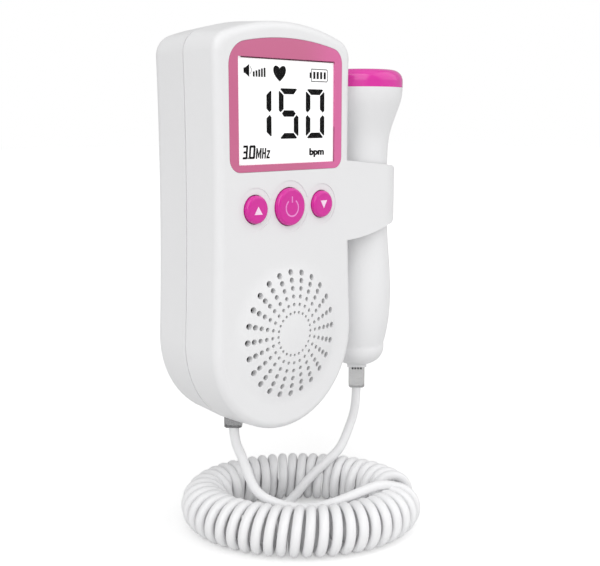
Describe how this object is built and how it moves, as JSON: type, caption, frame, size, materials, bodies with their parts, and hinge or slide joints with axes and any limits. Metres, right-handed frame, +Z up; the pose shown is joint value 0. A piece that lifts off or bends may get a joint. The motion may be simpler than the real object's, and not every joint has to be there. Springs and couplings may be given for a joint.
{
  "type": "fetal doppler monitor",
  "caption": "Hand-held fetal heart monitor with a display, round buttons and a speaker grille, a probe clipped to its side and a curly cord joining the two.",
  "frame": {"origin": "on the flat back of the body, on its centre line, above the battery door and 100 mm above the body's lowest point", "axes": "+Z up along the body, -Y the side of the display, +X the side of the probe"},
  "size_m": [0.0944, 0.075, 0.1752],
  "materials": {
    "white_plastic": "satin gloss",
    "pink_plastic": "gloss",
    "lens_pink": "gloss, clear in the middle",
    "lcd_glass": "satin",
    "diffuser": "satin",
    "circuit_board": "satin",
    "black_plastic": "matte",
    "socket_plastic": "satin",
    "steel": "brushed",
    "speaker_steel": "satin",
    "magnet_steel": "satin",
    "speaker_paper": "matte",
    "gasket_rubber": "matte",
    "cell_can": "satin",
    "ceramic": "matte",
    "backing_rubber": "matte",
    "plug_plastic": "clear, gloss",
    "contact_metal": "satin",
    "cord_white": "gloss"
  },
  "bodies": {
    "housing": {"front_shell": "white_plastic", "rear_shell": "white_plastic", "battery_left": "cell_can", "battery_right": "cell_can", "contact_springs": "steel", "contact_plates": "steel", "display_lens": "lens_pink", "display_glass": "lcd_glass", "backlight": "diffuser", "main_board": "circuit_board", "board_parts": "black_plastic", "button_switches": "black_plastic", "speaker_gasket": "gasket_rubber", "speaker_frame": "speaker_steel", "speaker_cone": "speaker_paper", "speaker_magnet": "magnet_steel", "housing_screws": "steel", "body_socket": "socket_plastic", "earphone_jack": "black_plastic", "body_plug": "plug_plastic", "body_plug_contacts": "contact_metal", "cord_body_lead": "cord_white", "cord_coil": "cord_white", "cord_probe_lead": "cord_white"},
    "battery_door": {"battery_door": "white_plastic"},
    "up_button": {"up_button": "pink_plastic"},
    "power_button": {"power_button": "pink_plastic"},
    "down_button": {"down_button": "pink_plastic"},
    "probe": {"probe_handle": "white_plastic", "probe_cap": "pink_plastic", "transducer": "ceramic", "crystal_backing": "backing_rubber", "probe_board": "circuit_board", "probe_socket": "socket_plastic", "probe_plug": "plug_plastic", "probe_plug_contacts": "contact_metal"}
  },
  "joints": [
    {"name": "up_press", "type": "slide", "parent": "housing", "child": "up_button", "axis": [0, 1, 0], "range_m": [0, 0.0005], "stiffness_N_per_m": 1200},
    {"name": "power_press", "type": "slide", "parent": "housing", "child": "power_button", "axis": [0, 1, 0], "range_m": [0, 0.0005], "stiffness_N_per_m": 1200},
    {"name": "down_press", "type": "slide", "parent": "housing", "child": "down_button", "axis": [0, 1, 0], "range_m": [0, 0.0005], "stiffness_N_per_m": 1200},
    {"name": "door_hinge", "type": "hinge", "parent": "housing", "child": "battery_door", "pos_m": [0, -0.0015, -0.081], "axis": [-1, 0, 0], "range_deg": [0, 75]},
    {"name": "probe_slide", "type": "slide", "parent": "housing", "child": "probe", "axis": [0, 1, 0], "range_m": [0, 0.04]}
  ]
}
